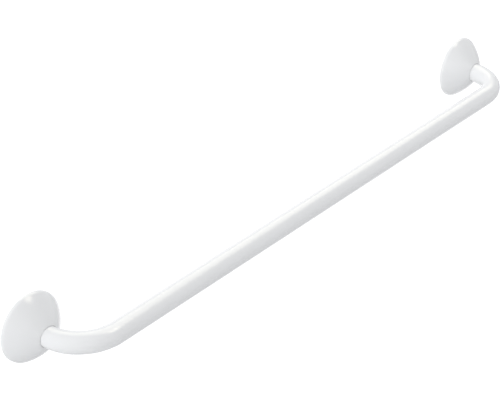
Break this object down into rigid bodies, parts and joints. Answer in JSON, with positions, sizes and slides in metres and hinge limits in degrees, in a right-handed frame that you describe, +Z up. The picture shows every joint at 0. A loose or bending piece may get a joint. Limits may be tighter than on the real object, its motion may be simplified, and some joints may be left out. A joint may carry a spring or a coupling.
{
  "type": "grab bar",
  "caption": "Straight wall grab bar: a round white tube bent to the wall at each end, fixed through hidden wall plates, with a domed cover over each plate that rides round the bend.",
  "frame": {"origin": "on the wall plane, midway between the two legs", "axes": "+X along the bar, +Y into the wall, +Z up; the bar stands off the wall towards -Y"},
  "size_m": [0.9, 0.0925, 0.083],
  "materials": {
    "coated_steel": "glossy white coat",
    "coated_plate": "thin satin white coat",
    "moulded_cover": "white, semi-gloss"
  },
  "bodies": {
    "bar": {"grab_tube": "coated_steel", "left_flange": "coated_plate", "right_flange": "coated_plate"},
    "left_cover": {"left_cover": "moulded_cover"},
    "right_cover": {"right_cover": "moulded_cover"}
  },
  "joints": [
    {"name": "left_cover_ride", "type": "hinge", "parent": "bar", "child": "left_cover", "pos_m": [-0.3565, -0.028, 0], "axis": [0, 0, 1], "range_deg": [0, 85]},
    {"name": "right_cover_ride", "type": "hinge", "parent": "bar", "child": "right_cover", "pos_m": [0.3565, -0.028, 0], "axis": [0, 0, -1], "range_deg": [0, 85]}
  ]
}
